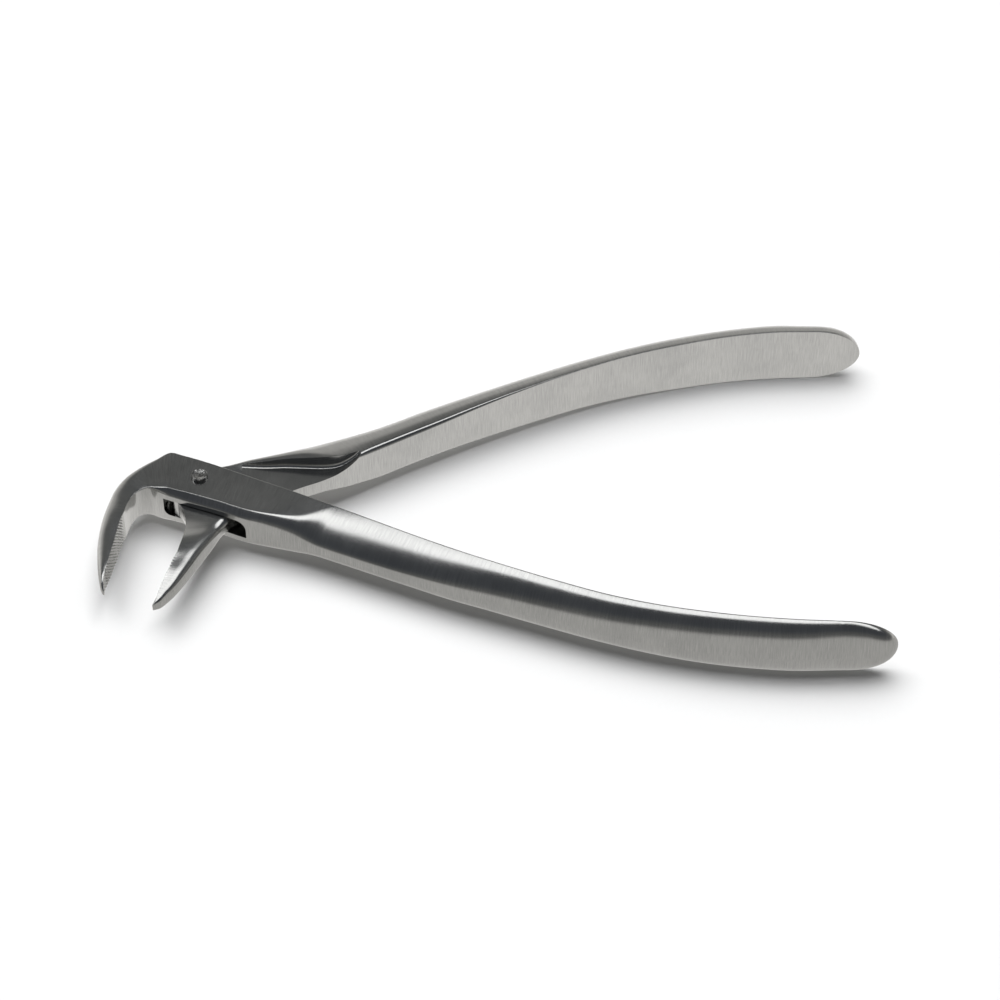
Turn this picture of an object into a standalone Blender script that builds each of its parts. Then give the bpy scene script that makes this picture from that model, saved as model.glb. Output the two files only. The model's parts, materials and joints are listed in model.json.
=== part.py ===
"""Lower extraction forceps, hawk-bill pattern, with a box joint.

Two forged halves and one pivot pin. One half carries the box, which the tang of the other half
passes through. Both beaks turn down in the plane in which the handles open.

Frame: the hinge axis is Z, and the origin is where it leaves the underside of the box. +X runs
between the handles, -Y is the way that the beaks point, and the handles stand part-way open.
"""

import math

import bmesh
import bpy
import numpy as np

MM = 0.001

# Driving dimensions, in millimetres.
BOX_HEIGHT = 9.0  # over both cheeks, along the hinge axis
SLOT_HEIGHT = 4.2  # the tang in it is 3.9 high
PIN_RADIUS = 1.6
BORE_RADIUS = 1.68
HEAD_PROUD = 0.8  # how far the pin's rounded head stands above the box
END_LENGTH = 10.5  # length over which the end of a handle is rounded off
OUTER_FLAT = 0.15  # width left flat between a handle's dome and its bevel
SCOOP_FILLET = 0.8  # radius between a scoop's floor and its wall
SCOOP_DRAFT = 0.05  # how far that wall leans back

CORNER_STEPS = 4  # edges in each rounded corner of a cross-section
SAMPLES_PER_ROW = 2  # cross-sections made from each control row
END_STEPS = 6
PIN_SIDES = 32
REACH = 20.0  # how far a cutter runs past the metal
MOST_LENGTH = 0.98  # most of a section's width that its corners fill
MOST_HEIGHT = 0.97  # most of its half height that a corner fills

MID = BOX_HEIGHT / 2  # both halves are the same above and below this level
STEEL = (0.42, 0.43, 0.42, 1.0)
BRIGHT_STEEL = (0.55, 0.55, 0.54, 1.0)

# A control row is one upright cross-section: left x, y, right x, y, half height, and the length
# and height of the rounding at its left and at its right corners. Rows run from the beak's tip to
# the handle, and left is the left hand of someone who walks that way back, from handle to tip.
# A rounding as large as the section turns that side into a dome. The last two values are for the
# upper side only: the extra height of the left rounding, and how far the top falls to the left.
BOX_HALF = [
    (-16.85, -27.6, -17.15, -27.6, 0.55, 0.05, 0.05, 0.15, 0.30, 0.00, 0.00),
    (-16.95, -26.4, -17.65, -26.6, 1.25, 0.05, 0.08, 0.50, 1.00, 0.00, 0.00),
    (-16.95, -24.8, -18.05, -25.0, 1.85, 0.05, 0.10, 0.90, 1.60, 0.00, 0.00),
    (-16.55, -22.6, -18.50, -22.6, 2.30, 0.05, 0.10, 1.60, 2.00, 0.00, 0.00),
    (-16.00, -19.1, -18.95, -19.2, 2.65, 0.05, 0.10, 2.40, 2.30, 0.00, 0.00),
    (-15.45, -15.4, -19.20, -15.8, 2.90, 0.05, 0.10, 3.00, 2.40, 0.00, 0.00),
    (-14.95, -11.8, -19.15, -11.9, 3.20, 0.05, 0.10, 3.20, 2.50, 0.00, 0.00),
    (-14.45, -8.70, -18.75, -8.10, 3.35, 0.05, 0.10, 3.20, 2.50, 0.00, 0.00),
    (-13.75, -5.60, -17.95, -4.40, 3.35, 0.08, 0.12, 3.00, 2.20, 0.00, 0.00),
    (-12.70, -3.60, -17.00, -1.30, 3.40, 0.10, 0.15, 2.60, 1.90, 0.00, 0.00),
    (-11.40, -2.60, -15.25, 1.50, 3.55, 0.15, 0.20, 2.00, 1.50, 0.00, 0.00),
    (-9.90, -2.45, -12.40, 3.70, 3.90, 0.30, 0.30, 1.30, 0.90, 0.00, 0.00),
    (-8.20, -3.20, -9.00, 5.60, 4.30, 0.70, 0.70, 0.70, 0.50, 0.00, 0.00),
    (-6.20, -4.15, -6.20, 7.05, 4.50, 1.20, 1.15, 0.20, 0.20, 0.00, 0.00),
    (-4.60, -4.80, -4.00, 6.30, 4.50, 1.30, 1.20, 0.15, 0.15, 0.00, 0.00),
    (-1.50, -6.05, 0.60, 4.50, 4.50, 1.45, 1.30, 0.15, 0.15, 0.00, 0.00),
    (4.00, -8.20, 6.20, 1.95, 4.50, 1.50, 1.30, 0.15, 0.15, 0.00, 0.00),
    (9.40, -10.6, 12.00, -0.80, 4.50, 1.60, 1.35, 0.15, 0.15, 0.00, 0.00),
    (13.80, -12.1, 17.80, -3.45, 4.50, 2.20, 1.90, 0.15, 0.15, 0.10, 0.10),
    (19.00, -14.0, 23.20, -6.10, 4.50, 4.20, 2.90, 0.15, 0.15, 0.40, 0.45),
]
TANG_HALF = [
    (-6.95, -31.5, -7.20, -31.3, 0.75, 0.15, 0.50, 0.05, 0.05, 0.00, 0.00),
    (-5.90, -30.9, -6.75, -30.3, 1.20, 0.45, 0.80, 0.05, 0.08, 0.00, 0.10),
    (-4.35, -29.0, -6.20, -28.4, 1.75, 0.80, 1.30, 0.05, 0.10, 0.00, 0.20),
    (-2.90, -26.8, -5.55, -26.2, 2.20, 1.30, 1.65, 0.05, 0.10, 0.00, 0.35),
    (-1.35, -23.9, -4.80, -23.9, 2.60, 1.85, 1.95, 0.05, 0.10, 0.00, 0.50),
    (0.22, -20.6, -3.95, -21.2, 2.85, 2.25, 2.10, 0.05, 0.10, 0.00, 0.65),
    (1.92, -17.0, -3.05, -18.5, 3.05, 2.60, 2.30, 0.05, 0.10, 0.00, 0.80),
    (3.65, -13.5, -2.40, -15.3, 2.95, 2.85, 2.25, 0.10, 0.15, 0.00, 0.85),
    (4.90, -11.0, -2.15, -12.4, 2.45, 2.70, 1.85, 0.15, 0.20, 0.00, 0.60),
    (6.20, -9.30, -2.30, -9.40, 2.05, 2.10, 1.25, 0.15, 0.20, 0.00, 0.20),
    (7.40, -7.90, -2.95, -6.80, 1.95, 1.15, 0.80, 0.15, 0.20, 0.00, 0.00),
    (8.60, -6.90, -4.10, -4.90, 1.95, 0.50, 0.40, 0.15, 0.20, 0.00, 0.00),
    (9.60, -6.10, -5.40, -3.50, 1.95, 0.20, 0.20, 0.20, 0.20, 0.00, 0.00),
    (10.80, -5.30, -5.60, -0.40, 1.95, 0.20, 0.20, 0.20, 0.20, 0.00, 0.00),
    (12.20, -4.40, -2.90, 3.20, 1.95, 0.20, 0.20, 0.20, 0.20, 0.00, 0.00),
    (13.60, -3.55, 0.90, 4.90, 1.95, 0.20, 0.20, 0.30, 0.30, 0.00, 0.00),
    (15.30, -2.60, 5.00, 6.05, 2.00, 0.20, 0.20, 0.80, 0.50, 0.00, 0.00),
    (17.60, -1.40, 8.80, 7.20, 2.60, 0.20, 0.20, 1.40, 1.00, 0.00, 0.00),
    (20.40, 0.05, 13.45, 8.45, 3.30, 0.20, 0.20, 2.40, 1.90, 0.00, 0.00),
    (24.00, 1.70, 18.60, 10.10, 3.95, 0.30, 0.30, 3.80, 2.90, 0.00, 0.00),
]

# x, and how full the rounding of the box half's left corners is there: 2 is round, 1 a flat chamfer.
FULLNESS = [(-9.0, 2.0), (-6.0, 1.2), (9.0, 1.2), (19.0, 2.0)]

# A handle has a flat inner face with a dome behind it: the face's x and y, the depth of the dome,
# half height, the height of the dome's rounding, and the width of the bevel along the face. The
# last two say how much taller the rounding is above than below, and how far the top falls away
# from the inner face to the outer side.
BOX_HANDLE = [
    (27.5, -8.25, 8.60, 4.50, 3.30, 0.10, 0.90, 0.90),
    (34.0, -11.60, 8.10, 4.60, 3.40, 0.10, 1.00, 1.35),
    (43.5, -16.60, 7.40, 4.80, 3.70, 0.10, 0.90, 1.35),
    (52.9, -21.40, 6.60, 5.15, 4.20, 0.10, 0.60, 1.10),
    (62.3, -25.75, 5.80, 5.45, 4.90, 0.10, 0.20, 0.90),
    (71.5, -29.65, 5.40, 5.60, 5.30, 0.10, 0.10, 0.60),
    (80.6, -33.15, 5.10, 5.75, 5.40, 0.10, 0.20, 0.40),
    (89.7, -36.00, 4.85, 6.05, 5.70, 0.10, 0.20, 0.35),
    (98.7, -38.10, 4.70, 6.35, 6.00, 0.10, 0.10, 0.30),
    (107.7, -39.55, 4.50, 6.50, 6.20, 0.10, 0.05, 0.30),
    (116.8, -40.40, 4.30, 6.50, 6.20, 0.10, 0.05, 0.30),
    (125.4, -40.70, 3.60, 6.35, 6.00, 0.10, 0.05, 0.30),
]
TANG_HANDLE = [
    (29.6, 4.70, 9.40, 4.45, 3.50, 0.50, 0.00, 0.00),
    (33.2, 7.10, 8.20, 4.42, 3.30, 0.90, 0.00, 0.00),
    (37.9, 9.95, 7.30, 4.38, 3.20, 0.95, 0.00, 0.00),
    (47.6, 15.60, 6.80, 4.42, 3.20, 0.80, 0.00, 0.00),
    (57.5, 21.15, 5.95, 4.82, 3.55, 0.50, 0.00, 0.00),
    (67.4, 26.20, 5.50, 5.18, 4.20, 0.25, 0.00, 0.00),
    (77.5, 30.85, 5.40, 5.45, 4.95, 0.12, 0.00, 0.00),
    (87.7, 34.65, 5.40, 5.85, 5.55, 0.10, 0.00, 0.00),
    (97.9, 37.45, 5.60, 6.20, 5.95, 0.10, 0.00, 0.00),
    (108.1, 39.70, 5.50, 6.42, 6.15, 0.10, 0.00, 0.00),
    (118.3, 40.85, 5.60, 6.58, 6.25, 0.10, 0.00, 0.00),
    (125.0, 41.10, 5.10, 6.45, 6.05, 0.10, 0.00, 0.00),
]

# The slot through the box, from its front mouth to its back mouth: left x, y and right x, y. It
# flares both ways from the pin, by as much as the tang turns. The last two values are the radii
# of its lower left and upper right corners.
SLOT = [
    (-7.9, -5.80, 9.0, -12.4, 1.3, 2.1),
    (-7.15, -3.60, 9.6, -10.60, 1.3, 2.1),
    (-7.10, -1.90, 11.0, -9.20, 0.8, 1.2),
    (-6.75, -0.50, 12.6, -8.25, 0.3, 0.3),
    (-6.10, 1.10, 15.6, -7.55, 0.3, 0.3),
    (-4.90, 2.60, 18.5, -7.20, 0.3, 0.3),
    (-3.40, 3.95, 21.5, -6.85, 0.3, 0.3),
    (-2.60, 5.60, 24.5, -6.60, 0.3, 0.3),
    (-2.20, 8.50, 27.0, -4.50, 0.3, 0.3),
]

# The scoops that thin the tang's neck: x, floor of the upper one above the middle, floor of the
# lower one below it, and the y of the wall that both leave along the back.
SCOOP = [
    (8.0, 1.95, 1.95, 5.9),
    (12.2, 1.60, 1.60, 6.0),
    (17.0, 1.50, 1.50, 6.2),
    (21.0, 1.50, 1.50, 6.0),
    (25.0, 1.55, 1.60, 5.9),
    (27.0, 1.75, 2.00, 6.0),
    (29.0, 2.40, 2.50, 6.5),
    (31.0, 3.50, 2.90, 7.3),
    (33.0, 5.20, 3.40, 8.5),
    (36.0, 5.60, 4.00, 9.9),
    (39.0, 6.00, 4.80, 11.4),
]


def steel(name, colour, roughness):
    """A bare steel finish."""
    material = bpy.data.materials.new(name)
    material.use_nodes = True
    shader = material.node_tree.nodes["Principled BSDF"]
    shader.inputs["Base Color"].default_value = colour
    shader.inputs["Metallic"].default_value = 1.0
    shader.inputs["Roughness"].default_value = roughness
    return material


def add_object(name, mesh, material=None):
    """An object with its origin on the hinge axis, at the middle of the box."""
    if material:
        mesh.materials.append(material)
    made = bpy.data.objects.new(name, mesh)
    made.location = (0, 0, MID * MM)
    bpy.context.scene.collection.objects.link(made)
    return made


def smooth_curve(rows, per_row):
    """Rows along a smooth curve through all the given rows, per_row of them for each gap."""
    rows = np.array(rows, dtype=float)
    steps = np.linalg.norm(np.diff(rows[:, :4], axis=0), axis=1)
    at = np.concatenate([[0], np.cumsum(steps)])
    slopes = np.gradient(rows, at, axis=0)
    made = []
    for i, length in enumerate(steps):
        for t in np.arange(per_row) / per_row:
            made.append(
                (2 * t**3 - 3 * t**2 + 1) * rows[i]
                + (t**3 - 2 * t**2 + t) * length * slopes[i]
                + (3 * t**2 - 2 * t**3) * rows[i + 1]
                + (t**3 - t**2) * length * slopes[i + 1]
            )
    return made + [rows[-1]]


def handle_rows(handle, dome_side):
    """Control rows of a handle. dome_side is 1 where the dome is on the left, -1 on the right."""
    handle = np.array(handle)
    runs = np.gradient(handle[:, :2], axis=0)
    rows = []
    for (x, y, depth, half, rise, bevel, *top), run in zip(handle, runs):
        run = run / np.linalg.norm(run)
        outer = (x + dome_side * run[1] * depth, y - dome_side * run[0] * depth)
        dome = (depth - bevel - OUTER_FLAT, rise)
        if dome_side > 0:
            rows.append((*outer, x, y, half, *dome, bevel, bevel, *top))
        else:
            rows.append((x, y, *outer, half, bevel, bevel, *dome, *top))
    return rows


def rounded_end(before, last, dome_side):
    """Rows that close a handle: both heights fall away along an ellipse, on the inner face."""
    inner, outer = (slice(2, 4), slice(0, 2)) if dome_side > 0 else (slice(0, 2), slice(2, 4))
    run = last[inner] - before[inner]
    run = run / np.linalg.norm(run)
    rows = []
    for step in range(1, END_STEPS + 1):
        part = math.sin(0.5 * math.pi * step / (END_STEPS + 0.35))  # stops just short of a point
        row = last.copy()
        row[inner] = last[inner] + run * END_LENGTH * part
        row[outer] = row[inner] + (last[outer] - last[inner]) * math.sqrt(1 - part**3)
        row[4:] = last[4:] * math.sqrt(1 - part**2)
        rows.append(row)
    return rows


def outline(left, right, half, corners, fullness=2.0, fall=0.0):
    """The points round one cross-section. corners: lower left, lower right, upper right, upper left."""
    width = math.dist(left, right)
    along = ((right[0] - left[0]) / width, (right[1] - left[1]) / width)
    points = []
    for index, (length, height) in enumerate(corners):
        side = 1 if index in (1, 2) else -1
        up = 1 if index > 1 else -1
        power = 1 if side > 0 else 2 / fullness
        for step in range(CORNER_STEPS + 1):
            turn = 0.5 * math.pi * (index + step / CORNER_STEPS)
            inset = length * (1 - abs(math.cos(turn)) ** power)
            across = width - inset if side > 0 else inset
            z = up * (half - height + height * abs(math.sin(turn)) ** power)
            if up > 0:
                z -= fall * z / half * (1 - across / width)
            points.append((left[0] + along[0] * across, left[1] + along[1] * across, z))
    return points


def loft(name, outlines):
    """A closed mesh with its skin through the outlines, in millimetres."""
    mesh = bmesh.new()
    rings = []
    for points in outlines:
        rings.append([mesh.verts.new([c * MM for c in point]) for point in points])
    for ring, following in zip(rings, rings[1:]):
        for i in range(len(ring)):
            j = (i + 1) % len(ring)
            mesh.faces.new((ring[i], ring[j], following[j], following[i]))
    mesh.faces.new(rings[0])
    mesh.faces.new(rings[-1])
    bmesh.ops.recalc_face_normals(mesh, faces=mesh.faces)
    data = bpy.data.meshes.new(name)
    mesh.to_mesh(data)
    mesh.free()
    return data


def half_mesh(name, rows, handle, dome_side):
    """The skin of one half, from the tip of its beak to the end of its handle."""
    rows = smooth_curve(rows + handle_rows(handle, dome_side), SAMPLES_PER_ROW)
    rows += rounded_end(rows[-2], rows[-1], dome_side)
    outlines = []
    for row in rows:
        width = math.dist(row[0:2], row[2:4])
        length = min(1, MOST_LENGTH * width / (row[5] + row[7]))
        height = MOST_HEIGHT * row[4]
        left = (row[5] * length, min(row[6], height))
        right = (row[7] * length, min(row[8], height))
        upper_left = (left[0], min(row[6] + row[9], height))
        corners = (left, right, right, upper_left)
        fullness = np.interp(row[0], *np.transpose(FULLNESS)) if dome_side > 0 else 2.0
        outlines.append(outline(row[0:2], row[2:4], row[4], corners, fullness, row[10]))
    return loft(name, outlines)


def slot_mesh():
    sharp = (0.1, 0.1)
    outlines = []
    for x, y, far_x, far_y, lower_left, upper_right in SLOT:
        corners = ((lower_left, lower_left), sharp, (upper_right, upper_right), sharp)
        outlines.append(outline((x, y), (far_x, far_y), SLOT_HEIGHT / 2, corners))
    return loft("slot_cutter", outlines)


def scoop_mesh(side):
    """The space above the neck's thin web, or with side -1 the space below it."""
    half_way = SCOOP_FILLET * (1 - math.sqrt(0.5))
    outlines = []
    for x, upper, lower, wall in SCOOP:
        floor = upper if side > 0 else lower
        top = side * (MID + 1.0)
        outlines.append(
            [
                (x, -REACH, side * floor),
                (x, wall - SCOOP_FILLET, side * floor),
                (x, wall - half_way, side * (floor + half_way)),
                (x, wall, side * (floor + SCOOP_FILLET)),
                (x, wall + SCOOP_DRAFT, top + side * floor),
                (x, -REACH, top + side * floor),
            ]
        )
    return loft("scoop_cutter", outlines)


def turned_mesh(name, profile):
    """A solid of revolution about the hinge axis, from (radius, z) pairs that run upwards."""
    outlines = []
    for radius, z in profile:
        ring = []
        for side in range(PIN_SIDES):
            angle = 2 * math.pi * (side + 0.5) / PIN_SIDES
            ring.append((radius * math.cos(angle), radius * math.sin(angle), z))
        outlines.append(ring)
    return loft(name, outlines)


def cut(target, mesh):
    """Takes the mesh away from the target."""
    cutter = add_object(mesh.name, mesh)
    cutter.hide_render = True
    cutter.display_type = "WIRE"
    modifier = target.modifiers.new("Cut " + mesh.name, "BOOLEAN")
    modifier.operation = "DIFFERENCE"
    modifier.solver = "EXACT"
    modifier.object = cutter


def bore_mesh():
    return turned_mesh("bore_cutter", [(BORE_RADIUS, -REACH), (BORE_RADIUS, REACH)])


def build_female_half():
    """The half with the box: its beak is the outer one."""
    mesh = half_mesh("female_half", BOX_HALF, BOX_HANDLE, 1)
    made = add_object("female_half", mesh, steel("satin_steel_box", STEEL, 0.32))
    cut(made, slot_mesh())
    cut(made, bore_mesh())
    return made


def build_male_half():
    """The half with the tang, scooped thin above and below behind the box."""
    mesh = half_mesh("male_half", TANG_HALF, TANG_HANDLE, -1)
    made = add_object("male_half", mesh, steel("satin_steel_tang", STEEL, 0.32))
    cut(made, scoop_mesh(1))
    cut(made, scoop_mesh(-1))
    cut(made, bore_mesh())
    return made


def build_pivot_pin():
    """A rivet: flush and flat under the box, with a low round head above it."""
    top = MID + HEAD_PROUD
    profile = [
        (PIN_RADIUS - 0.1, -MID),
        (PIN_RADIUS, -MID + 0.1),
        (PIN_RADIUS, top - 0.4),
        (PIN_RADIUS - 0.15, top - 0.12),
        (PIN_RADIUS - 0.5, top),
        (0.5, top - 0.04),
        (0.2, top - 0.15),
    ]
    mesh = turned_mesh("pivot_pin", profile)
    return add_object("pivot_pin", mesh, steel("bright_steel_pin", BRIGHT_STEEL, 0.25))


def main():
    for obj in list(bpy.data.objects):
        bpy.data.objects.remove(obj, do_unlink=True)
    for made in (build_female_half(), build_male_half(), build_pivot_pin()):
        made.data.shade_smooth()
        made.data.set_sharp_from_angle(angle=math.radians(35))


main()
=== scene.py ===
import json
import math

import bmesh
import bpy
import numpy as np
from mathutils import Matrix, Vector, noise


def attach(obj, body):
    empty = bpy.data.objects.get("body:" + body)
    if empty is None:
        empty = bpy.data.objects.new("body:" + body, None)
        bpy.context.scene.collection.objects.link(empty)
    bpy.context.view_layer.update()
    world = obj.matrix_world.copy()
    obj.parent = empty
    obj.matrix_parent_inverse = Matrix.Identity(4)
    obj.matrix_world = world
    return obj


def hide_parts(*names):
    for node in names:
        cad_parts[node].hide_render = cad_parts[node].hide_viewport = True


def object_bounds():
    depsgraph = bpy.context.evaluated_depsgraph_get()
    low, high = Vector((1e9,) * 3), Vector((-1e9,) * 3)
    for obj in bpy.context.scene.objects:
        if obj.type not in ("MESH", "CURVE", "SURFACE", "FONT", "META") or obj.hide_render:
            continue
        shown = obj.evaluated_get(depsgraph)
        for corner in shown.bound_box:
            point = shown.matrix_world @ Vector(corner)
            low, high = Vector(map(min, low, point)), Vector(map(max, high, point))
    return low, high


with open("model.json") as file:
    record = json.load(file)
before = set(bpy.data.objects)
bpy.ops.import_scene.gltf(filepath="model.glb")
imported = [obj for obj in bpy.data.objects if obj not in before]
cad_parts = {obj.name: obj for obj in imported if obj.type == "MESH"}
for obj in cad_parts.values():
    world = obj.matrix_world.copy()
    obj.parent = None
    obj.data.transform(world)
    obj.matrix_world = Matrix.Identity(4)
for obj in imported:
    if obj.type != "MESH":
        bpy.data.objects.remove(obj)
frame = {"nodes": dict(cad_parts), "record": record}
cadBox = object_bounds()
print("frame loaded with", sorted(frame["nodes"]))

mm = 0.001
mounts = {mount["name"]: Vector(mount["pos_m"]) for mount in frame["record"]["mounts"]}
middle = (mounts["box_top"].z + mounts["pin_foot"].z) / 2  # the halves are alike above and below it
cheekHeight = (mounts["box_top"].z - middle) / mm  # from that level to the top of the box


class Value:
    # a node socket, or with none the start of a tree; sums written on it add their Math nodes

    def __init__(self, tree, socket=None):
        self.tree = tree
        self.socket = socket

    def node(self, kind, settings=None, inputs=None, output=0):
        made = self.tree.nodes.new("ShaderNode" + kind)
        for name, value in (settings or {}).items():
            if name == "stops":
                ramp = made.color_ramp
                for place, colour in value[len(ramp.elements):]:
                    ramp.elements.new(place)
                for element, (place, colour) in zip(ramp.elements, value):
                    element.position = place
                    element.color = (*colour, 1)
            else:
                setattr(made, name, value)
        for name, value in (inputs or {}).items():
            if isinstance(value, Value):
                self.tree.links.new(value.socket, made.inputs[name])
            else:
                made.inputs[name].default_value = value
        return Value(self.tree, made.outputs[output] if len(made.outputs) else None)

    def maths(self, operation, first, second=0.0):
        return self.node("Math", {"operation": operation}, {0: first, 1: second})

    def __add__(self, other):
        return self.maths("ADD", self, other)

    def __radd__(self, other):
        return self.maths("ADD", other, self)

    def __sub__(self, other):
        return self.maths("SUBTRACT", self, other)

    def __rsub__(self, other):
        return self.maths("SUBTRACT", other, self)

    def __mul__(self, other):
        return self.maths("MULTIPLY", self, other)

    def __rmul__(self, other):
        return self.maths("MULTIPLY", other, self)


def ease(value, low, high):
    # 0 below low and 1 above high, with a soft step between
    settings = {"interpolation_type": "SMOOTHSTEP"}
    return value.node("MapRange", settings, {"Value": value, "From Min": low, "From Max": high})


def mixColour(factor, first, second):
    return factor.node("Mix", {"data_type": "RGBA"}, {0: factor, 6: first, 7: second}, output=2)


def speckle(vector, scale, detail=2.0, roughness=0.5):
    inputs = {"Vector": vector, "Scale": scale, "Detail": detail, "Roughness": roughness}
    return vector.node("TexNoise", {"noise_dimensions": "3D"}, inputs)


def stretched(vector, along, across):
    # the grain map with its two directions at their own scales
    inputs = {0: vector, 1: (along, across, 1.0)}
    return vector.node("VectorMath", {"operation": "MULTIPLY"}, inputs)


shot = {
    "lens": 108,  # on a sensor 36 wide
    "elevation": 45,
    "distance": 0.600,
    "target": (0.0016, -0.0029),  # to the side of the middle of the object's box
}


def addCamera():
    low, high = cadBox
    aside, back = shot["target"]
    target = Vector(((low.x + high.x) / 2 + aside, (low.y + high.y) / 2 + back, middle))
    tilt = math.radians(shot["elevation"])
    camera = bpy.data.objects.new("camera", bpy.data.cameras.new("camera"))
    camera.data.lens = shot["lens"]
    camera.location = target + shot["distance"] * Vector((0, -math.cos(tilt), math.sin(tilt)))
    camera.rotation_euler = (math.radians(90) - tilt, 0, 0)
    bpy.context.scene.collection.objects.link(camera)
    bpy.context.scene.camera = camera


studio = {
    "floorSize": 6.0,
    "floorColour": (0.62, 0.62, 0.62),
    "fleckColour": (0.635, 0.635, 0.635),
    "fleckScale": 900.0,
    "skyLean": 0.15,  # how much lower the sky's bands stand at the back
    "skyDip": (0.35, 0.55),  # how far to either side its dark part starts to come down, and by how much
    "skyStops": [  # brightness by the sine of the elevation
        (0.00, (0.63, 0.62, 0.60)),
        (0.30, (0.63, 0.62, 0.60)),
        (0.36, (0.51, 0.50, 0.485)),
        (0.44, (0.250, 0.250, 0.245)),
        (0.50, (0.165, 0.166, 0.164)),
        (0.62, (0.142, 0.145, 0.144)),
        (0.78, (0.082, 0.088, 0.098)),
        (1.00, (0.072, 0.077, 0.086)),
    ],
    "cardLift": 0.0001,  # above the floor
    "cardBack": (0.98, 0.965, 0.94),
    # dimmer in front: painted shade of the floor in front of the object, seen only in reflections
    "cardFrontInShade": (0.64, 0.63, 0.61),
    "cardStep": (-0.014, -0.002),  # where along the y axis it changes from the one to the other
    "overheadSize": (2.4, 0.42),
    "overheadPlace": (0.06, 0.26, 1.0),
    "overheadPower": 6.3,
    "keyPower": 3.9,
    "keyTilt": (17, -8),  # degrees, away from overhead: towards the back and the left
    "keySpread": 64,
}


def addLamp(name, kind, place, turn, power):
    lamp = bpy.data.objects.new(name, bpy.data.lights.new(name, kind))
    lamp.location = place
    lamp.rotation_euler = [math.radians(angle) for angle in turn]
    lamp.data.energy = power
    bpy.context.scene.collection.objects.link(lamp)
    return lamp


def newMaterial(name):
    material = bpy.data.materials.new(name)
    material.use_nodes = True
    material.node_tree.nodes.clear()
    return material, Value(material.node_tree)


def addSheet(name, lift, material):
    # a flat square under the object, this far above its lowest point
    size = studio["floorSize"] / 2
    corners = [(-size, -size, 0), (size, -size, 0), (size, size, 0), (-size, size, 0)]
    mesh = bpy.data.meshes.new(name)
    mesh.from_pydata(corners, [], [(0, 1, 2, 3)])
    mesh.materials.append(material)
    sheet = bpy.data.objects.new(name, mesh)
    sheet.location = (0, 0, cadBox[0].z + lift)
    bpy.context.scene.collection.objects.link(sheet)
    return sheet


def addFloor():
    material, start = newMaterial("floorPaper")
    fleck = speckle(start.node("TexCoord", output="Object"), studio["fleckScale"], detail=3.0)
    shade = mixColour(fleck, (*studio["floorColour"], 1), (*studio["fleckColour"], 1))
    inputs = {"Base Color": shade, "Roughness": 0.9, "Specular IOR Level": 0.1}
    start.node("OutputMaterial", {}, {"Surface": start.node("BsdfPrincipled", {}, inputs)})
    return addSheet("floor", 0, material)


def addCard():
    # glows under the object, a painted reflection of lit paper that only reflections see; dimmer towards the
    # front, as painted shade of the floor there
    material, start = newMaterial("glowingReflectionCard")
    place = start.node("TexCoord", output="Object")
    back = ease(start.node("SeparateXYZ", {}, {0: place}, output="Y"), *studio["cardStep"])
    shade = mixColour(back, (*studio["cardFrontInShade"], 1), (*studio["cardBack"], 1))
    glow = start.node("Emission", {}, {"Color": shade, "Strength": 1.0})
    start.node("OutputMaterial", {}, {"Surface": glow})
    card = addSheet("card", studio["cardLift"], material)
    card.visible_camera = card.visible_diffuse = card.visible_shadow = card.visible_transmission = False


def addLight(floor):
    world = bpy.data.worlds.new("studio")
    world.use_nodes = True
    world.node_tree.nodes.clear()
    start = Value(world.node_tree)
    direction = start.node("TexCoord", output="Generated")
    aside, back, height = (start.node("SeparateXYZ", {}, {0: direction}, output=axis) for axis in "XYZ")
    dipStart, depth = studio["skyDip"]
    dip = start.maths("MAXIMUM", start.maths("ABSOLUTE", aside) - dipStart, 0.0) * depth
    sky = start.node("ValToRGB", {"stops": studio["skyStops"]}, {0: height - studio["skyLean"] * back + dip})
    glow = start.node("Background", {}, {"Color": sky, "Strength": 1.0})
    start.node("OutputWorld", {}, {"Surface": glow})
    bpy.context.scene.world = world

    overhead = addLamp("overhead", "AREA", studio["overheadPlace"], (0, 0, 0), studio["overheadPower"])
    overhead.data.shape = "RECTANGLE"
    overhead.data.size, overhead.data.size_y = studio["overheadSize"]

    back, side = studio["keyTilt"]
    key = addLamp("key", "SUN", (0, 0, 1), (-back, side, 0), studio["keyPower"])
    key.data.angle = math.radians(studio["keySpread"])
    onFloor = bpy.data.collections.new("floor only")  # the key light is for the floor and its soft shadow
    onFloor.objects.link(floor)
    key.light_linking.receiver_collection = onFloor
    bpy.context.scene.view_settings.view_transform = "Standard"


fineness = {
    "cornerSteps": 9,
    "beakStep": 0.11,  # mm between sections where the teeth are
    "shaftStep": 0.8,
    "endSteps": 18,
    "scoopStep": 0.6,
    "scoopSteps": 8,
    "pinSides": 96,
}

sections = {
    "mostWidth": 0.98,  # the most of a section's width that its corners fill
    "mostHeight": 0.97,  # the most of its half height that a corner fills
    "outerFlat": 0.15,  # mm left flat between a handle's dome and its bevel
    "endLength": 10.5,  # mm over which the end of a handle is rounded off
    "endStop": 0.35,  # steps by which the end stops short of a point
}


def smoothCurve(rows, stepOf):
    # rows along a smooth curve through all the given ones; stepOf says how far apart the new rows are
    rows = np.array(rows, dtype=float)
    gaps = np.linalg.norm(np.diff(rows[:, :4], axis=0), axis=1)
    at = np.concatenate([[0], np.cumsum(gaps)])
    slopes = np.gradient(rows, at, axis=0)
    made = []
    for i, gap in enumerate(gaps):
        count = max(1, math.ceil(gap / math.sqrt(2) / stepOf(rows[i])))
        for t in np.arange(count) / count:
            made.append(
                (2 * t**3 - 3 * t**2 + 1) * rows[i]
                + (t**3 - 2 * t**2 + t) * gap * slopes[i]
                + (3 * t**2 - 2 * t**3) * rows[i + 1]
                + (t**3 - t**2) * gap * slopes[i + 1]
            )
    return made + [rows[-1]]


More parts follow.
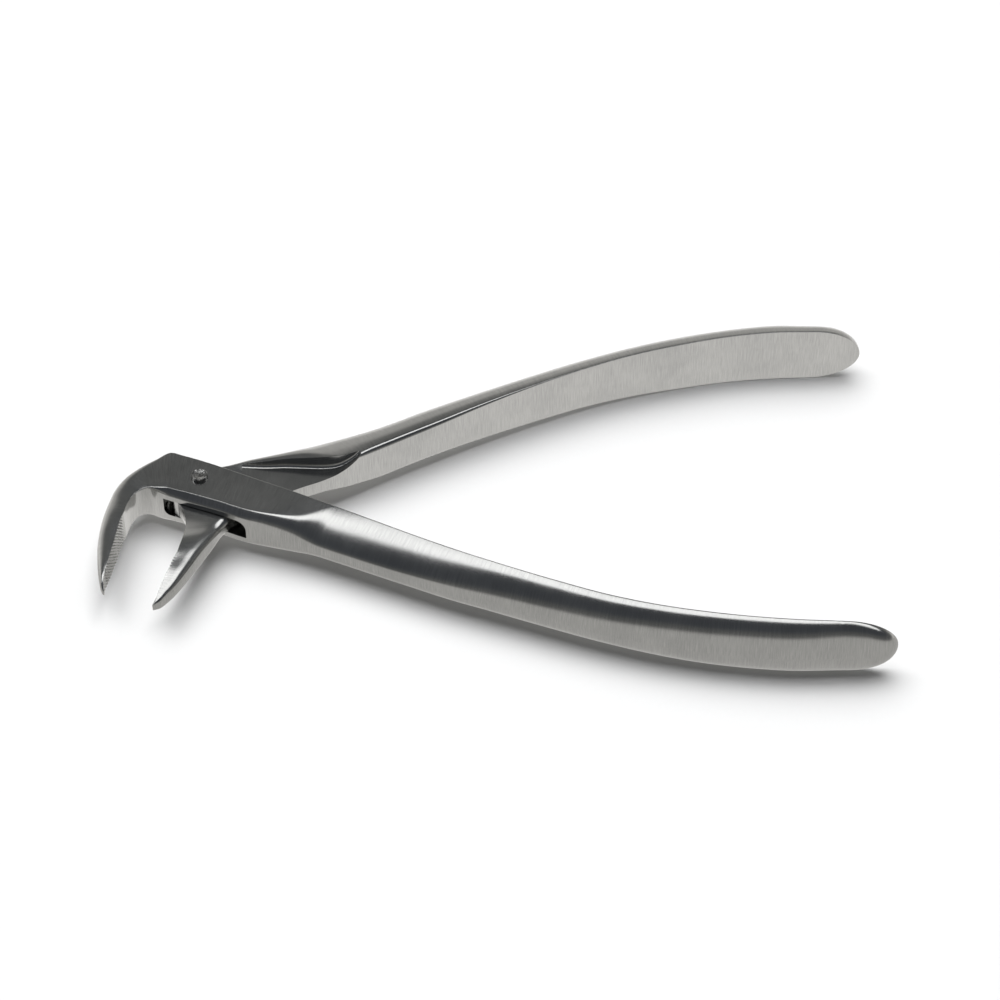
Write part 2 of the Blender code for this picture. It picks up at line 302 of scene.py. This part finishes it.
def outline(left, right, half, corners, sideSteps, cornerSteps, fullness=2.0):
    # points round an upright section; corners and sides start at the lower left and go by the lower right
    left, right = np.array(left), np.array(right)
    width = np.linalg.norm(right - left)
    arcs = []
    for index, (length, height) in enumerate(corners):
        onRight = index in (1, 2)
        power = 1 if onRight else 2 / fullness
        turn = 0.5 * math.pi * (index + np.arange(cornerSteps + 1) / cornerSteps)
        inset = length * (1 - abs(np.cos(turn)) ** power)
        level = half - height + height * abs(np.sin(turn)) ** power
        arcs.append(np.stack([width - inset if onRight else inset, level if index > 1 else -level], axis=1))
    flat = []
    for index, arc in enumerate(arcs):
        following = arcs[(index + 1) % 4][0]
        between = np.arange(1, sideSteps[index] + 1)[:, None] / (sideSteps[index] + 1)
        flat += [arc, arc[-1] + (following - arc[-1]) * between]
    flat = np.concatenate(flat)
    points = left + (right - left) * flat[:, :1] / width
    return np.column_stack([points, flat[:, 1]])


def loft(name, rings, finish=0):
    # a closed mesh through the rings, in mm, with a map of the length along it and the length round it
    rings = np.array(rings)
    count, size = rings.shape[:2]
    steps = np.linalg.norm(np.diff(rings.mean(axis=1), axis=0), axis=1)
    along = np.concatenate([[0], np.cumsum(steps)])
    closed = np.concatenate([rings, rings[:, :1]], axis=1)
    around = np.linalg.norm(np.diff(closed, axis=1), axis=2)
    around = np.concatenate([np.zeros((count, 1)), np.cumsum(around, axis=1)], axis=1)
    faces = []
    spots = []
    for i in range(count - 1):
        for j in range(size):
            k = (j + 1) % size
            faces.append((i * size + j, (i + 1) * size + j, (i + 1) * size + k, i * size + k))
            for ring, place in ((i, j), (i + 1, j), (i + 1, j + 1), (i, j + 1)):
                spots.append((along[ring], around[ring, place]))
    first = list(range(size))
    faces += [first, [(count - 1) * size + j for j in reversed(first)]]
    spots += [(along[0], z) for z in rings[0, :, 2]]
    spots += [(along[-1], z) for z in rings[-1, ::-1, 2]]
    mesh = bpy.data.meshes.new(name)
    mesh.from_pydata((rings * mm).reshape(-1, 3).tolist(), [], faces)
    grain = mesh.uv_layers.new(name="grain")
    grain.uv.foreach_set("vector", np.array(spots, dtype=np.float32).ravel())
    mesh.polygons.foreach_set("material_index", [finish] * len(faces))
    work = bmesh.new()
    work.from_mesh(mesh)
    bmesh.ops.recalc_face_normals(work, faces=work.faces)
    work.to_mesh(mesh)
    work.free()
    return mesh


def turned(name, profile, sides, finish=0):
    # a solid of revolution about the hinge, from (radius, z) pairs that run upwards
    angles = 2 * math.pi * (np.arange(sides) + 0.5) / sides
    rings = []
    for radius, z in profile:
        rings.append(np.column_stack([radius * np.cos(angles), radius * np.sin(angles), np.full(sides, z)]))
    return loft(name, rings, finish)


def placed(name, mesh):
    piece = bpy.data.objects.new(name, mesh)
    piece.location = (mounts["pin_foot"].x, mounts["pin_foot"].y, middle)
    bpy.context.scene.collection.objects.link(piece)
    return piece


def finishMesh(piece, cutters, sharpAngle=32):
    # cuts the piece, and leaves one plain mesh with its true edges sharp
    tools = [placed(mesh.name, mesh) for mesh in cutters]
    for tool in tools:
        cut = piece.modifiers.new("cut", "BOOLEAN")
        cut.operation = "DIFFERENCE"
        cut.solver = "EXACT"
        cut.object = tool
    bpy.context.view_layer.update()
    graph = bpy.context.evaluated_depsgraph_get()
    made = bpy.data.meshes.new_from_object(piece.evaluated_get(graph))
    piece.modifiers.clear()
    piece.data = made
    for tool in tools:
        bpy.data.objects.remove(tool, do_unlink=True)
    made.shade_smooth()
    made.set_sharp_from_angle(angle=math.radians(sharpAngle))
    even = piece.modifiers.new("even", "WEIGHTED_NORMAL")
    even.keep_sharp = True
    print(piece.name, "has", len(made.polygons), "faces")


# A row is one upright section of a beak, in mm from the hinge: left x, y, right x, y, half height,
# then length and height of the rounding at the left and at the right, how much taller the upper left
# one is, and how far the top falls to the left. Rows run from the tip back.
# A row of a handle is the flat face's x, y, the depth of the dome behind it, half height, height of
# the dome's rounding, width of the bevel, and the same last two values.
femaleHalf = {
    "toothedLength": 19.0,
    "toothPitch": 0.80,  # mm along the beak
    "toothFade": (0.6, 1.6),  # mm over which they start at the tip and end at the back
    "toothDepth": 0.28,
    "hollow": 0.16,  # how far the gripping face is ground hollow
    "faceDepth": 0.25,  # how far behind the gripping face the metal still follows the grooves
    "beakRows": 13,  # the rows that get close sections
    "toothOnLeft": True,
    "sideSteps": (5, 8, 5, 56),  # points between the corners
    "domeSide": 1,  # 1 where the handle's dome is on the left, -1 on the right
    # x, and how full the left corners are there: 2 is round, 1 a flat chamfer
    "fullness": [(-9.0, 2.0), (-6.0, 1.2), (9.0, 1.2), (19.0, 2.0)],
    "rows": [
        (-16.85, -27.6, -17.15, -27.6, 0.55, 0.05, 0.05, 0.15, 0.30, 0.00, 0.00),
        (-16.95, -26.4, -17.65, -26.6, 1.25, 0.05, 0.08, 0.50, 1.00, 0.00, 0.00),
        (-16.95, -24.8, -18.05, -25.0, 1.85, 0.05, 0.10, 0.90, 1.60, 0.00, 0.00),
        (-16.55, -22.6, -18.50, -22.6, 2.30, 0.05, 0.10, 1.60, 2.00, 0.00, 0.00),
        (-16.00, -19.1, -18.95, -19.2, 2.65, 0.05, 0.10, 2.40, 2.30, 0.00, 0.00),
        (-15.45, -15.4, -19.20, -15.8, 2.90, 0.05, 0.10, 3.00, 2.40, 0.00, 0.00),
        (-14.95, -11.8, -19.15, -11.9, 3.20, 0.05, 0.10, 3.20, 2.50, 0.00, 0.00),
        (-14.45, -8.70, -18.75, -8.10, 3.35, 0.05, 0.10, 3.20, 2.50, 0.00, 0.00),
        (-13.75, -5.60, -17.95, -4.40, 3.35, 0.08, 0.12, 3.00, 2.20, 0.00, 0.00),
        (-12.70, -3.60, -17.00, -1.30, 3.40, 0.10, 0.15, 2.60, 1.90, 0.00, 0.00),
        (-11.40, -2.60, -15.25, 1.50, 3.55, 0.15, 0.20, 2.00, 1.50, 0.00, 0.00),
        (-9.90, -2.45, -12.40, 3.70, 3.90, 0.30, 0.30, 1.30, 0.90, 0.00, 0.00),
        (-8.20, -3.20, -9.00, 5.60, 4.30, 0.70, 0.70, 0.70, 0.50, 0.00, 0.00),
        (-6.20, -4.15, -6.20, 7.05, 4.50, 1.20, 1.15, 0.20, 0.20, 0.00, 0.00),
        (-4.60, -4.80, -4.00, 6.30, 4.50, 1.30, 1.20, 0.15, 0.15, 0.00, 0.00),
        (-1.50, -6.05, 0.60, 4.50, 4.50, 1.45, 1.30, 0.15, 0.15, 0.00, 0.00),
        (4.00, -8.20, 6.20, 1.95, 4.50, 1.50, 1.30, 0.15, 0.15, 0.00, 0.00),
        (9.40, -10.6, 12.00, -0.80, 4.50, 1.60, 1.35, 0.15, 0.15, 0.00, 0.00),
        (13.80, -12.1, 17.80, -3.45, 4.50, 2.20, 1.90, 0.15, 0.15, 0.10, 0.10),
        (19.00, -14.0, 23.20, -6.10, 4.50, 4.20, 2.90, 0.15, 0.15, 0.40, 0.45),
    ],
    "handle": [
        (27.5, -8.25, 8.60, 4.50, 3.30, 0.10, 0.90, 0.90),
        (34.0, -11.60, 8.10, 4.60, 3.40, 0.10, 1.00, 1.35),
        (43.5, -16.60, 7.40, 4.80, 3.70, 0.10, 0.90, 1.35),
        (52.9, -21.40, 6.60, 5.15, 4.20, 0.10, 0.60, 1.10),
        (62.3, -25.75, 5.80, 5.45, 4.90, 0.10, 0.20, 0.90),
        (71.5, -29.65, 5.40, 5.60, 5.30, 0.10, 0.10, 0.60),
        (80.6, -33.15, 5.10, 5.75, 5.40, 0.10, 0.20, 0.40),
        (89.7, -36.00, 4.85, 6.05, 5.70, 0.10, 0.20, 0.35),
        (98.7, -38.10, 4.70, 6.35, 6.00, 0.10, 0.10, 0.30),
        (107.7, -39.55, 4.50, 6.50, 6.20, 0.10, 0.05, 0.30),
        (116.8, -40.40, 4.30, 6.50, 6.20, 0.10, 0.05, 0.30),
        (125.4, -40.70, 3.60, 6.35, 6.00, 0.10, 0.05, 0.30),
    ],
}

maleHalf = {
    "toothedLength": 16.0,
    "toothPitch": 0.80,
    "toothFade": (0.6, 1.6),
    "toothDepth": 0.28,
    "hollow": 0.12,
    "faceDepth": 0.25,
    "beakRows": 13,
    "toothOnLeft": False,
    "sideSteps": (5, 52, 5, 8),
    "domeSide": -1,
    "fullness": [(0.0, 2.0)],
    "rows": [
        (-6.95, -31.5, -7.20, -31.3, 0.75, 0.15, 0.50, 0.05, 0.05, 0.00, 0.00),
        (-5.90, -30.9, -6.75, -30.3, 1.20, 0.45, 0.80, 0.05, 0.08, 0.00, 0.10),
        (-4.35, -29.0, -6.20, -28.4, 1.75, 0.80, 1.30, 0.05, 0.10, 0.00, 0.20),
        (-2.90, -26.8, -5.55, -26.2, 2.20, 1.30, 1.65, 0.05, 0.10, 0.00, 0.35),
        (-1.35, -23.9, -4.80, -23.9, 2.60, 1.85, 1.95, 0.05, 0.10, 0.00, 0.50),
        (0.22, -20.6, -3.95, -21.2, 2.85, 2.25, 2.10, 0.05, 0.10, 0.00, 0.65),
        (1.92, -17.0, -3.05, -18.5, 3.05, 2.60, 2.30, 0.05, 0.10, 0.00, 0.80),
        (3.65, -13.5, -2.40, -15.3, 2.95, 2.85, 2.25, 0.10, 0.15, 0.00, 0.85),
        (4.90, -11.0, -2.15, -12.4, 2.45, 2.70, 1.85, 0.15, 0.20, 0.00, 0.60),
        (6.20, -9.30, -2.30, -9.40, 2.05, 2.10, 1.25, 0.15, 0.20, 0.00, 0.20),
        (7.40, -7.90, -2.95, -6.80, 1.95, 1.15, 0.80, 0.15, 0.20, 0.00, 0.00),
        (8.60, -6.90, -4.10, -4.90, 1.95, 0.50, 0.40, 0.15, 0.20, 0.00, 0.00),
        (9.60, -6.10, -5.40, -3.50, 1.95, 0.20, 0.20, 0.20, 0.20, 0.00, 0.00),
        (10.80, -5.30, -5.60, -0.40, 1.95, 0.20, 0.20, 0.20, 0.20, 0.00, 0.00),
        (12.20, -4.40, -2.90, 3.20, 1.95, 0.20, 0.20, 0.20, 0.20, 0.00, 0.00),
        (13.60, -3.55, 0.90, 4.90, 1.95, 0.20, 0.20, 0.30, 0.30, 0.00, 0.00),
        (15.30, -2.60, 5.00, 6.05, 2.00, 0.20, 0.20, 0.80, 0.50, 0.00, 0.00),
        (17.60, -1.40, 8.80, 7.20, 2.60, 0.20, 0.20, 1.40, 1.00, 0.00, 0.00),
        (20.40, 0.05, 13.45, 8.45, 3.30, 0.20, 0.20, 2.40, 1.90, 0.00, 0.00),
        (24.00, 1.70, 18.60, 10.10, 3.95, 0.30, 0.30, 3.80, 2.90, 0.00, 0.00),
    ],
    "handle": [
        (29.6, 4.70, 9.40, 4.45, 3.50, 0.50, 0.00, 0.00),
        (33.2, 7.10, 8.20, 4.42, 3.30, 0.90, 0.00, 0.00),
        (37.9, 9.95, 7.30, 4.38, 3.20, 0.95, 0.00, 0.00),
        (47.6, 15.60, 6.80, 4.42, 3.20, 0.80, 0.00, 0.00),
        (57.5, 21.15, 5.95, 4.82, 3.55, 0.50, 0.00, 0.00),
        (67.4, 26.20, 5.50, 5.18, 4.20, 0.25, 0.00, 0.00),
        (77.5, 30.85, 5.40, 5.45, 4.95, 0.12, 0.00, 0.00),
        (87.7, 34.65, 5.40, 5.85, 5.55, 0.10, 0.00, 0.00),
        (97.9, 37.45, 5.60, 6.20, 5.95, 0.10, 0.00, 0.00),
        (108.1, 39.70, 5.50, 6.42, 6.15, 0.10, 0.00, 0.00),
        (118.3, 40.85, 5.60, 6.58, 6.25, 0.10, 0.00, 0.00),
        (125.0, 41.10, 5.10, 6.45, 6.05, 0.10, 0.00, 0.00),
    ],
}


def handleRows(half):
    # rows of a handle with a flat inner face and a dome behind it
    handle = np.array(half["handle"])
    runs = np.gradient(handle[:, :2], axis=0)
    rows = []
    for (x, y, depth, height, rise, bevel, *top), run in zip(handle, runs):
        run = run / np.linalg.norm(run)
        outer = (x + half["domeSide"] * run[1] * depth, y - half["domeSide"] * run[0] * depth)
        dome = (depth - bevel - sections["outerFlat"], rise)
        if half["domeSide"] > 0:
            rows.append((*outer, x, y, height, *dome, bevel, bevel, *top))
        else:
            rows.append((x, y, *outer, height, bevel, bevel, *dome, *top))
    return rows


def roundedEnd(before, last, domeSide):
    # the last section shrinks along an ellipse, and its outer side comes in a little later
    inner, outer = (slice(2, 4), slice(0, 2)) if domeSide > 0 else (slice(0, 2), slice(2, 4))
    run = last[inner] - before[inner]
    run = run / np.linalg.norm(run)
    rows = []
    for step in range(1, fineness["endSteps"] + 1):
        part = math.sin(0.5 * math.pi * step / (fineness["endSteps"] + sections["endStop"]))
        row = last.copy()
        row[inner] = last[inner] + run * sections["endLength"] * part
        row[outer] = row[inner] + (last[outer] - last[inner]) * math.sqrt(1 - part**3.0)
        row[4:] = last[4:] * math.sqrt(1 - part**2)
        rows.append(row)
    return rows


def grooveDepth(half, along, level, height):
    # crossed V grooves and the ground hollow of a gripping face, as a depth under the flat face
    first = (along + level) / half["toothPitch"] % 1
    second = (along - level) / half["toothPitch"] % 1
    ridge = np.minimum(abs(first - 0.5), abs(second - 0.5)) * 2
    tipFade, backFade = half["toothFade"]
    fade = np.clip((half["toothedLength"] - along) / backFade, 0, 1) * np.clip(along / tipFade, 0, 1)
    hollow = half["hollow"] * (1 - (level / height) ** 2)
    return fade * (half["toothDepth"] * (1 - ridge) + hollow)


def buildHalf(name, half, cutters):
    fine = {tuple(row) for row in half["rows"][:half["beakRows"]]}

    def stepOf(row):
        return fineness["beakStep"] if tuple(row) in fine else fineness["shaftStep"]

    rows = smoothCurve(half["rows"] + handleRows(half), stepOf)
    rows += roundedEnd(rows[-2], rows[-1], half["domeSide"])
    rings = []
    along = 0.0
    for row, before in zip(rows, rows[:1] + rows):
        along += math.dist((row[0:2] + row[2:4]) / 2, (before[0:2] + before[2:4]) / 2)
        left, right, height = row[0:2], row[2:4], row[4]
        width = math.dist(left, right)
        shrink = min(1, sections["mostWidth"] * width / (row[5] + row[7]))
        most = sections["mostHeight"] * height
        leftCorner = (row[5] * shrink, min(row[6], most))
        rightCorner = (row[7] * shrink, min(row[8], most))
        upperLeft = (leftCorner[0], min(row[6] + row[9], most))
        fullness = np.interp(row[0], *np.transpose(half["fullness"]))
        corners = (leftCorner, rightCorner, rightCorner, upperLeft)
        ring = outline(left, right, height, corners, half["sideSteps"], fineness["cornerSteps"], fullness)
        inset = np.linalg.norm(ring[:, :2] - right, axis=1) / width
        ring[:, 2] -= row[10] * np.maximum(ring[:, 2], 0) / height * inset  # the top falls away to the left
        if along < half["toothedLength"]:
            face, inward = (left, right - left) if half["toothOnLeft"] else (right, left - right)
            inward = inward / width
            depth = (ring[:, :2] - face) @ inward
            grip = np.clip(1 - depth / half["faceDepth"], 0, 1)
            groove = grooveDepth(half, along, ring[:, 2], height) * grip * min(1, width / 2)
            ring[:, :2] += groove[:, None] * inward
        rings.append(ring)
    piece = placed(name, loft(name, rings))
    finishMesh(piece, cutters)
    return piece


boxJoint = {
    "slotHeight": 4.2,
    "slotCorner": 0.1,  # radius of the slot's other two corners
    "boreRadius": 1.68,
    "reach": 20.0,  # how far from the hinge the cutters run
    # from the front mouth back: left x, y, right x, y, radii of the lower left and the upper right corner
    "slot": [
        (-7.9, -5.80, 9.0, -12.4, 1.3, 2.1),
        (-7.15, -3.60, 9.6, -10.60, 1.3, 2.1),
        (-7.10, -1.90, 11.0, -9.20, 0.8, 1.2),
        (-6.75, -0.50, 12.6, -8.25, 0.3, 0.3),
        (-6.10, 1.10, 15.6, -7.55, 0.3, 0.3),
        (-4.90, 2.60, 18.5, -7.20, 0.3, 0.3),
        (-3.40, 3.95, 21.5, -6.85, 0.3, 0.3),
        (-2.60, 5.60, 24.5, -6.60, 0.3, 0.3),
        (-2.20, 8.50, 27.0, -4.50, 0.3, 0.3),
    ],
    # x, height of the upper floor, depth of the lower floor, and the y of the wall behind them
    "scoop": [
        (8.0, 1.95, 1.95, 5.9),
        (12.2, 1.60, 1.60, 6.0),
        (17.0, 1.50, 1.50, 6.2),
        (21.0, 1.50, 1.50, 6.0),
        (25.0, 1.55, 1.60, 5.9),
        (27.0, 1.75, 2.00, 6.0),
        (29.0, 2.40, 2.50, 6.5),
        (31.0, 3.50, 2.90, 7.3),
        (33.0, 5.20, 3.40, 8.5),
        (36.0, 5.60, 4.00, 9.9),
        (39.0, 6.00, 4.80, 11.4),
    ],
    "scoopFillet": 0.8,
    "scoopDraft": 0.05,  # how far the wall leans back
}


def slotCutter():
    rings = []
    sharp = (boxJoint["slotCorner"], boxJoint["slotCorner"])
    for x, y, farX, farY, lowerLeft, upperRight in boxJoint["slot"]:
        corners = ((lowerLeft, lowerLeft), sharp, (upperRight, upperRight), sharp)
        rings.append(outline((x, y), (farX, farY), boxJoint["slotHeight"] / 2, corners, (0, 0, 0, 0), 8))
    return loft("slotCutter", rings, 1)


def scoopCutter(side):
    reach, fillet = boxJoint["reach"], boxJoint["scoopFillet"]
    rings = []
    for x, upper, lower, wall in smoothCurve(boxJoint["scoop"], lambda row: fineness["scoopStep"]):
        floor = upper if side > 0 else lower
        top = floor + cheekHeight + 1
        points = [(-reach, floor)]
        for angle in np.linspace(0, math.pi / 2, fineness["scoopSteps"] + 1):
            points.append((wall - fillet + fillet * math.sin(angle), floor + fillet * (1 - math.cos(angle))))
        points += [(wall + boxJoint["scoopDraft"], top), (-reach, top)]
        rings.append([(x, y, side * z) for y, z in points])
    return loft("scoopCutter", rings, 1)


def boreCutter():
    radius, reach = boxJoint["boreRadius"], boxJoint["reach"]
    return turned("boreCutter", [(radius, -reach), (radius, reach)], fineness["pinSides"], 1)


pinHead = {
    "radius": 1.655,
    "proud": 0.78,
    "rimRound": 0.22,
    "dish": 0.16,  # how far the peened top is dished
    "dishSpan": (0.96, 0.02),  # fractions of the inner radius where its rings start and end
    "lumps": 0.05,
    "lumpScale": (1.5, 3.4),  # per mm, of the coarse lumps and the fine ones
    "sink": 0.02,  # how far the lumpy part is lowered
    "footFlat": 0.02,  # radius where the flat foot is closed
    "footBevel": 0.1,
    "rimSteps": 7,
    "dishSteps": 26,
}


def buildPin():
    radius, top, rim = pinHead["radius"], cheekHeight + pinHead["proud"], pinHead["rimRound"]
    bevel = pinHead["footBevel"]
    profile = [(pinHead["footFlat"], -cheekHeight), (radius - bevel, -cheekHeight)]
    profile += [(radius, -cheekHeight + bevel), (radius, top - rim)]
    for angle in np.linspace(0, math.pi / 2, pinHead["rimSteps"] + 1)[1:]:
        profile.append((radius - rim + rim * math.cos(angle), top - rim + rim * math.sin(angle)))
    inner = radius - rim
    for part in np.linspace(*pinHead["dishSpan"], pinHead["dishSteps"]):
        profile.append((inner * part, top - pinHead["dish"] * (1 - part**2)))
    mesh = turned("pivotPin", profile, fineness["pinSides"])
    coarse, fine = pinHead["lumpScale"]
    for vertex in mesh.vertices:
        if vertex.co.z > (top - 2 * rim) * mm:
            spot = vertex.co / mm
            spread = min(1, max(0, 1.15 - spot.xy.length / radius) * 3)
            lump = noise.noise(spot * coarse) + 0.6 * noise.noise(spot * fine)
            vertex.co.z += pinHead["lumps"] * spread * lump * mm - pinHead["sink"] * spread * mm
    pin = placed("pivotPin", mesh)
    finishMesh(pin, [])
    return pin


satinSteel = {
    "dark": (0.39, 0.392, 0.386),
    "light": (0.50, 0.50, 0.49),
    "roughness": 0.195,
    "wornAndHighlit": (0.72, 0.72, 0.71),  # along the edges: brighter as wear and as a painted highlight
    "brushScale": (5.6, 0.22),  # how fine the brushing is per mm, along the piece and round it
    "fineScale": (15.0, 0.36),
    "patchScale": 110.0,  # per metre
    "waveScale": 160.0,
    "wearAndHighlightSpan": (0.53, 0.62),  # pointiness where an edge starts to be brightened and where it is fully bright, as wear and as a painted highlight
    "brushDepth": 0.0000014,  # depths in metres
    "waveDepth": 0.000016,
}

# the faces of the slot, bore and scoops: darker than the satin steel, as painted shade in these recesses
shadedCutSteel = {
    "dark": (0.29, 0.292, 0.295),
    "light": (0.47, 0.47, 0.465),
    "pit": (0.10, 0.10, 0.10),
    "mottleScale": 700.0,
    "pitScale": 2600.0,
    "pitted": (0.023, 0.029),  # metres along x from the hinge, where the pits start and where they are full
    "roughness": 0.34,
    "pitDepth": 0.00002,
}

peenedSteel = {
    "dark": (0.08, 0.08, 0.08),
    "light": (0.42, 0.42, 0.41),
    "dentScale": 1500.0,
    "scratchScale": 5200.0,
    "dentDepth": 0.00006,
    "roughness": 0.22,
}


def closeSteel(start, colour, roughness, normal):
    inputs = {"Base Color": colour, "Metallic": 1.0, "Roughness": roughness, "Normal": normal}
    start.node("OutputMaterial", {}, {"Surface": start.node("BsdfPrincipled", {}, inputs)})


def satinFinish():
    # brushed across the length: fine lines, soft patches from the polishing wheel, and edges brightened
    # partly as wear and partly as a painted highlight
    material, start = newMaterial("satinSteel")
    grain = start.node("UVMap", {"uv_map": "grain"})
    place = start.node("TexCoord", output="Object")
    lines = speckle(stretched(grain, *satinSteel["brushScale"]), 1.0, detail=4.0, roughness=0.65)
    fineLines = speckle(stretched(grain, *satinSteel["fineScale"]), 1.0, detail=2.0)
    patches = speckle(place, satinSteel["patchScale"], detail=3.0, roughness=0.6)
    waves = speckle(place, satinSteel["waveScale"], detail=1.0)
    # brighter colour along convex edges: partly wear, partly a painted highlight
    wornAndHighlit = ease(start.node("NewGeometry", output="Pointiness"), *satinSteel["wearAndHighlightSpan"])
    tone = ease(lines * 0.55 + fineLines * 0.25 + patches * 0.30, 0.38, 0.72)
    colour = mixColour(tone, (*satinSteel["dark"], 1), (*satinSteel["light"], 1))
    colour = mixColour(wornAndHighlit * 0.5, colour, (*satinSteel["wornAndHighlit"], 1))
    roughness = satinSteel["roughness"] + 0.10 * (lines - 0.5) + 0.12 * (patches - 0.5) - 0.06 * wornAndHighlit
    height = lines + fineLines * 0.6
    brushed = start.node("Bump", {}, {"Height": height, "Distance": satinSteel["brushDepth"]})
    normal = start.node("Bump", {}, {"Height": waves, "Distance": satinSteel["waveDepth"], "Normal": brushed})
    closeSteel(start, colour, roughness, normal)
    return material


def cutFinish():
    # the milled slot, the bore and the forged scoops: a darker steel than the outside, painted shade in these
    # recesses, with mottling and pits where the grinding wheel ran out, darker in the pits
    material, start = newMaterial("shadedCutSteel")
    place = start.node("TexCoord", output="Object")
    mottle = speckle(place, shadedCutSteel["mottleScale"], detail=5.0, roughness=0.7)
    pits = speckle(place, shadedCutSteel["pitScale"], detail=3.0, roughness=0.7)
    runOut = ease(start.node("SeparateXYZ", {}, {0: place}, output="X"), *shadedCutSteel["pitted"])
    deep = ease(pits, 0.62, 0.50) * runOut
    tone = ease(mottle, 0.3, 0.7)
    colour = mixColour(tone, (*shadedCutSteel["dark"], 1), (*shadedCutSteel["light"], 1))
    colour = mixColour(deep * 0.7, colour, (*shadedCutSteel["pit"], 1))
    roughness = shadedCutSteel["roughness"] + 0.16 * (mottle - 0.5) + 0.1 * deep
    height = mottle * 0.5 + pits * (0.2 + 0.8 * runOut)
    normal = start.node("Bump", {}, {"Height": height, "Distance": shadedCutSteel["pitDepth"]})
    closeSteel(start, colour, roughness, normal)
    return material


def peenedFinish():
    # hammered and buffed, with small dents, darker where the dents are low
    material, start = newMaterial("peenedSteel")
    place = start.node("TexCoord", output="Object")
    dents = speckle(place, peenedSteel["dentScale"], detail=3.0, roughness=0.6)
    fine = speckle(place, peenedSteel["scratchScale"], detail=2.0)
    tone = ease(dents, 0.36, 0.60)
    colour = mixColour(tone, (*peenedSteel["dark"], 1), (*peenedSteel["light"], 1))
    roughness = peenedSteel["roughness"] + 0.14 * (1 - tone) + 0.06 * (fine - 0.5)
    height = dents + 0.3 * fine
    normal = start.node("Bump", {}, {"Height": height, "Distance": peenedSteel["dentDepth"]})
    closeSteel(start, colour, roughness, normal)
    return material


addCamera()
addLight(addFloor())
addCard()
print("camera, floor and light are set")

satin, cutFace, peened = satinFinish(), cutFinish(), peenedFinish()
print("finishes are mixed")

female = buildHalf("femaleHalf", femaleHalf, [slotCutter(), boreCutter()])
male = buildHalf("maleHalf", maleHalf, [scoopCutter(1), scoopCutter(-1), boreCutter()])
pin = buildPin()
for piece, body, node, slot, finishes in (
    (female, "female", "female_half", "satin_steel", (satin, cutFace)),
    (male, "male", "male_half", "satin_steel", (satin, cutFace)),
    (pin, "female", "pivot_pin", "pin_steel", (peened,)),
):
    piece.data.materials.clear()
    for finish in finishes:
        piece.data.materials.append(finish)
    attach(piece, body)
    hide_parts(node)
print("halves and pin are in place")
